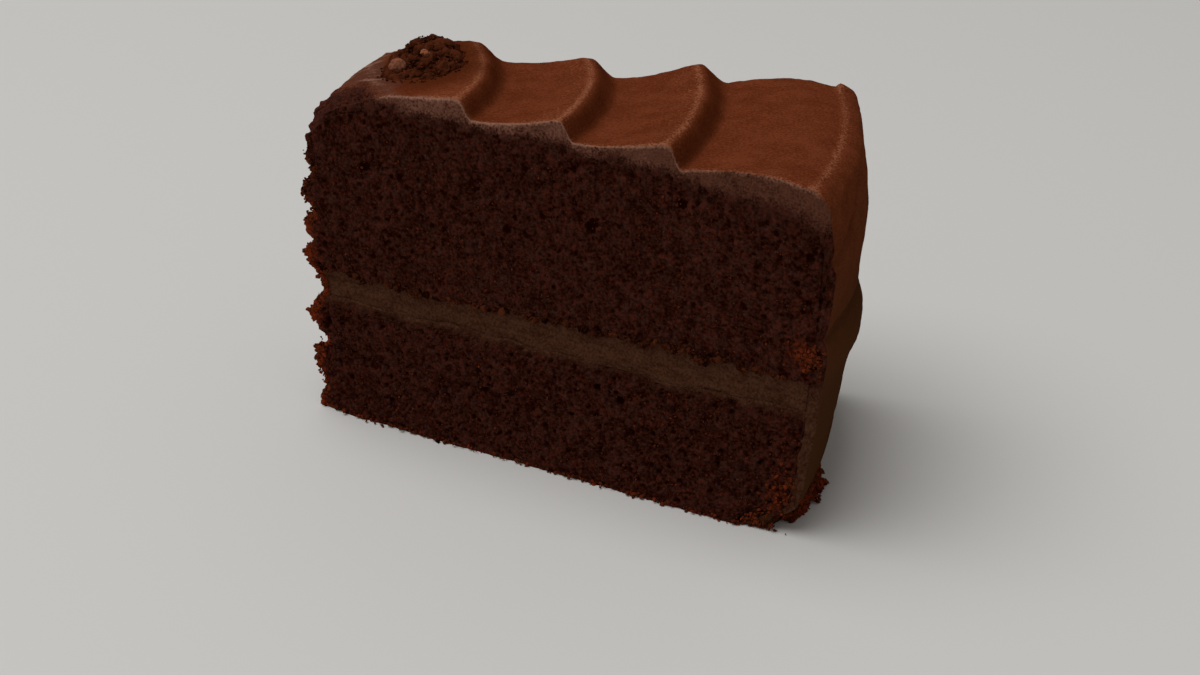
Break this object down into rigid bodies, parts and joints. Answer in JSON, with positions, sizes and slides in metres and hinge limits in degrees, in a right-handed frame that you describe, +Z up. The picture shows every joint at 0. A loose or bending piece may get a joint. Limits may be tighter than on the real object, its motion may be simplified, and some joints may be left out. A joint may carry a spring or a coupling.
{
  "type": "slice of chocolate cake",
  "caption": "Slice of layered chocolate cake with a filling between the sponges and combed icing over the top and outer side, standing on its flat underside.",
  "frame": {"origin": "middle of the underside, at the centre of the bounding box", "axes": "+Z up; +X along the front cut from the nose of the slice to its iced rim; +Y from the front cut to the back cut"},
  "size_m": [0.1274, 0.0642, 0.0841],
  "materials": {
    "sponge": "dark open-pored chocolate sponge, matte and crumbly",
    "filling": "soft chocolate cream, matte with a faint sheen",
    "icing": "smooth milk-brown chocolate buttercream, satin",
    "crumbs": "loose red-brown sponge crumbs, matte"
  },
  "bodies": {
    "root": {"sponge_lower": "sponge", "filling": "filling", "sponge_upper": "sponge", "icing": "icing", "top_crumbs": "crumbs", "base_crumbs": "crumbs"}
  },
  "joints": []
}
